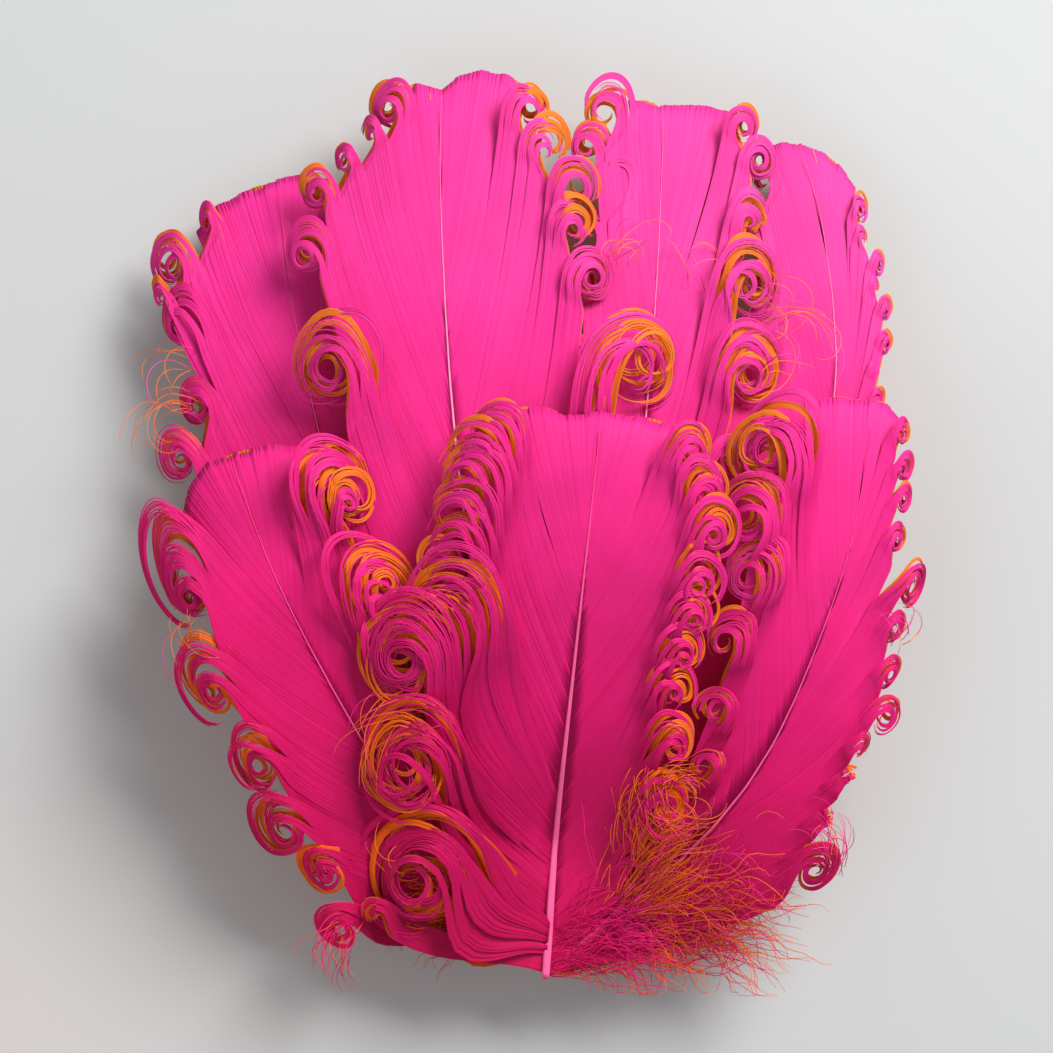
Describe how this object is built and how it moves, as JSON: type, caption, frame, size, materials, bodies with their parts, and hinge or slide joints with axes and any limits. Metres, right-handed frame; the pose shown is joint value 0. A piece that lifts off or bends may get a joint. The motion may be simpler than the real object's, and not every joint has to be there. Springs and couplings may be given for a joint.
{
  "type": "curled feather pad",
  "caption": "Flat fan-shaped applique of curled two-colour goose feathers in two overlapping rows, glued by the quills to a felt-backed buckram oval.",
  "frame": {"origin": "centre of the felt backing's rear face", "axes": "+Z out of the front of the pad, +Y from the quill ends to the feather tips, +X to the right of someone facing the pad"},
  "size_m": [0.1198, 0.1378, 0.0303],
  "materials": {
    "pink_vane": "dyed feather barbs with a soft silky sheen",
    "orange_vane": "dyed feather barbs with a soft silky sheen",
    "pink_quill": "satin horn, pale and slightly translucent",
    "orange_quill": "satin horn, pale and slightly translucent",
    "felt": "matt wool felt with short loose fibres",
    "buckram": "stiff sized open weave",
    "glue": "cloudy hot-melt glue, smooth and glossy"
  },
  "bodies": {
    "root": {"felt_backing": "felt", "buckram_base": "buckram", "back_row_glue": "glue", "front_row_glue": "glue", "back_right_orange_quill": "orange_quill", "back_right_orange_left_vane": "orange_vane", "back_right_orange_right_vane": "orange_vane", "back_right_pink_quill": "pink_quill", "back_right_pink_left_vane": "pink_vane", "back_right_pink_right_vane": "pink_vane", "back_left_orange_quill": "orange_quill", "back_left_orange_left_vane": "orange_vane", "back_left_orange_right_vane": "orange_vane", "back_left_pink_quill": "pink_quill", "back_left_pink_left_vane": "pink_vane", "back_left_pink_right_vane": "pink_vane", "back_centre_right_orange_quill": "orange_quill", "back_centre_right_orange_left_vane": "orange_vane", "back_centre_right_orange_right_vane": "orange_vane", "back_centre_right_pink_quill": "pink_quill", "back_centre_right_pink_left_vane": "pink_vane", "back_centre_right_pink_right_vane": "pink_vane", "back_centre_left_orange_quill": "orange_quill", "back_centre_left_orange_left_vane": "orange_vane", "back_centre_left_orange_right_vane": "orange_vane", "back_centre_left_pink_quill": "pink_quill", "back_centre_left_pink_left_vane": "pink_vane", "back_centre_left_pink_right_vane": "pink_vane", "front_right_orange_quill": "orange_quill", "front_right_orange_left_vane": "orange_vane", "front_right_orange_right_vane": "orange_vane", "front_right_pink_quill": "pink_quill", "front_right_pink_left_vane": "pink_vane", "front_right_pink_right_vane": "pink_vane", "front_left_orange_quill": "orange_quill", "front_left_orange_left_vane": "orange_vane", "front_left_orange_right_vane": "orange_vane", "front_left_pink_quill": "pink_quill", "front_left_pink_left_vane": "pink_vane", "front_left_pink_right_vane": "pink_vane", "front_centre_orange_quill": "orange_quill", "front_centre_orange_left_vane": "orange_vane", "front_centre_orange_right_vane": "orange_vane", "front_centre_pink_quill": "pink_quill", "front_centre_pink_left_vane": "pink_vane", "front_centre_pink_right_vane": "pink_vane"}
  },
  "joints": []
}
